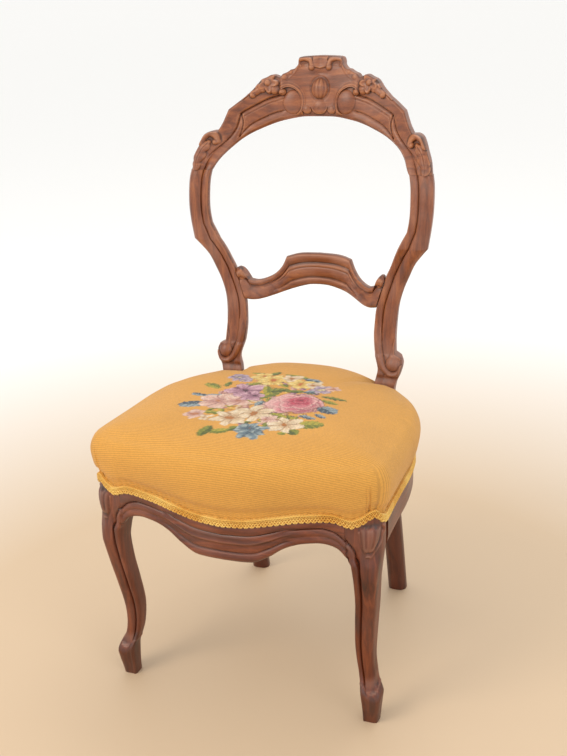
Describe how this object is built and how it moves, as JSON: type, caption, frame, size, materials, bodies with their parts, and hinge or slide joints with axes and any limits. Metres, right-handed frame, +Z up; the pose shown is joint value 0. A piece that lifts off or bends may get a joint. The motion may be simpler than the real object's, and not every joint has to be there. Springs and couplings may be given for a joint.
{
  "type": "balloon back dining chair",
  "caption": "Side chair with a carved, arched balloon back, a curved cross rail, cabriole front legs and a sprung seat in floral needlepoint edged with gimp braid.",
  "frame": {"origin": "on the floor, in the middle of the chair's box", "axes": "+X to the sitter's left, the front faces -Y, +Z up"},
  "size_m": [0.4786, 0.5213, 0.944],
  "materials": {
    "walnut": "satin polish, worn",
    "dark_walnut": "satin polish, darker",
    "beech": "bare",
    "steel": "dull",
    "needlepoint": "wool needlepoint",
    "braid": "woven gimp",
    "webbing": "jute",
    "hessian": "jute",
    "stuffing": "hair"
  },
  "bodies": {
    "root": {"crest_rail": "walnut", "cross_rail": "walnut", "back_post_left": "walnut", "back_post_right": "walnut", "front_leg_left": "dark_walnut", "front_leg_right": "dark_walnut", "front_seat_rail": "dark_walnut", "side_seat_rail_left": "dark_walnut", "side_seat_rail_right": "dark_walnut", "back_seat_rail": "dark_walnut", "front_corner_block_left": "beech", "front_corner_block_right": "beech", "back_corner_block_left": "beech", "back_corner_block_right": "beech", "crest_dowels": "beech", "cross_rail_dowels": "beech", "front_rail_dowels": "beech", "side_rail_dowels": "beech", "back_rail_dowels": "beech", "corner_block_screws": "steel", "webbing_lengthwise": "webbing", "webbing_crosswise": "webbing", "seat_springs": "steel", "spring_hessian": "hessian", "stuffing_pad": "stuffing", "seat_cover": "needlepoint", "gimp_braid": "braid", "back_gimp": "braid"}
  },
  "joints": []
}
